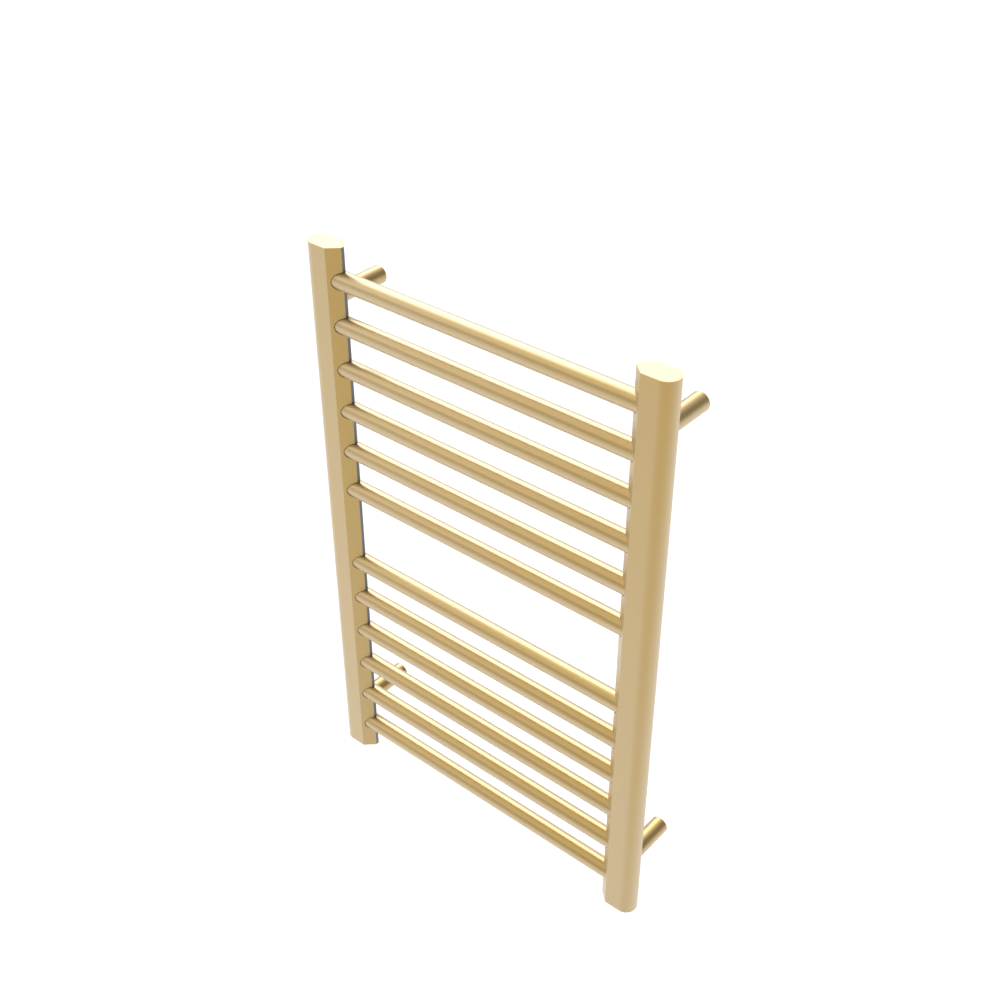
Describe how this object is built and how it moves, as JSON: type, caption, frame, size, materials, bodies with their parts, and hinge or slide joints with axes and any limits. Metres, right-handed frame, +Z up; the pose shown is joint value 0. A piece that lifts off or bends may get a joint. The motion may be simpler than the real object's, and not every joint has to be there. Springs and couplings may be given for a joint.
{
  "type": "ladder towel warmer",
  "caption": "Wall-hung electric ladder towel warmer: satin gold posts and round bars with a gap in the middle, standing off the wall on round standoffs.",
  "frame": {"origin": "on the wall plane, at the centre of the four wall fixings", "axes": "+X to the right seen from the front, +Y into the wall, +Z up; the front of the rack faces -Y"},
  "size_m": [0.52, 0.1, 0.8],
  "materials": {
    "brushed_gold": "satin brushed pale gold on stainless steel",
    "zinc_plated_steel": "bright zinc plate",
    "black_oxide_steel": "black oxide",
    "brass": "turned",
    "silicone_red": "matt silicone sheath",
    "heat_shrink": "satin black",
    "white_nylon": "moulded",
    "rubber": "matt",
    "lead_brown": "satin insulation",
    "lead_blue": "satin insulation",
    "lead_green": "satin insulation"
  },
  "bodies": {
    "wall_fixings": {"top_left_wall_boss": "zinc_plated_steel", "top_right_wall_boss": "zinc_plated_steel", "bottom_left_wall_boss": "zinc_plated_steel", "bottom_right_wall_boss": "zinc_plated_steel", "supply_bush": "rubber"},
    "rack": {"left_post": "brushed_gold", "right_post": "brushed_gold", "left_post_top_cap": "brushed_gold", "left_post_bottom_cap": "brushed_gold", "right_post_top_cap": "brushed_gold", "right_post_bottom_cap": "brushed_gold", "bar_01": "brushed_gold", "bar_02": "brushed_gold", "bar_03": "brushed_gold", "bar_04": "brushed_gold", "bar_05": "brushed_gold", "bar_06": "brushed_gold", "bar_07": "brushed_gold", "bar_08": "brushed_gold", "bar_09": "brushed_gold", "bar_10": "brushed_gold", "bar_11": "brushed_gold", "bar_12": "brushed_gold", "top_left_standoff": "brushed_gold", "top_right_standoff": "brushed_gold", "bottom_left_standoff": "brushed_gold", "bottom_right_standoff": "brushed_gold", "heating_cable": "silicone_red", "cable_end_seal": "heat_shrink", "cable_joint": "heat_shrink", "thermal_cut_out": "white_nylon", "cut_out_lead": "lead_brown", "live_lead": "lead_brown", "neutral_lead": "lead_blue", "earth_lead": "lead_green", "earth_stud": "zinc_plated_steel", "earth_ring": "brass", "earth_nut": "zinc_plated_steel", "terminal_block": "white_nylon", "live_terminal": "brass", "neutral_terminal": "brass", "earth_terminal": "brass"},
    "top_left_screw": {"top_left_set_screw": "black_oxide_steel"},
    "top_right_screw": {"top_right_set_screw": "black_oxide_steel"},
    "bottom_left_screw": {"bottom_left_set_screw": "black_oxide_steel"},
    "bottom_right_screw": {"bottom_right_set_screw": "black_oxide_steel"}
  },
  "joints": [
    {"name": "rack_slide", "type": "slide", "parent": "wall_fixings", "child": "rack", "axis": [0, -1, 0], "range_m": [0, 0.02]},
    {"name": "top_left_screw_travel", "type": "slide", "parent": "rack", "child": "top_left_screw", "axis": [0, 0, -1], "range_m": [0, 0.003]},
    {"name": "top_right_screw_travel", "type": "slide", "parent": "rack", "child": "top_right_screw", "axis": [0, 0, -1], "range_m": [0, 0.003]},
    {"name": "bottom_left_screw_travel", "type": "slide", "parent": "rack", "child": "bottom_left_screw", "axis": [0, 0, -1], "range_m": [0, 0.003]},
    {"name": "bottom_right_screw_travel", "type": "slide", "parent": "rack", "child": "bottom_right_screw", "axis": [0, 0, -1], "range_m": [0, 0.003]}
  ]
}
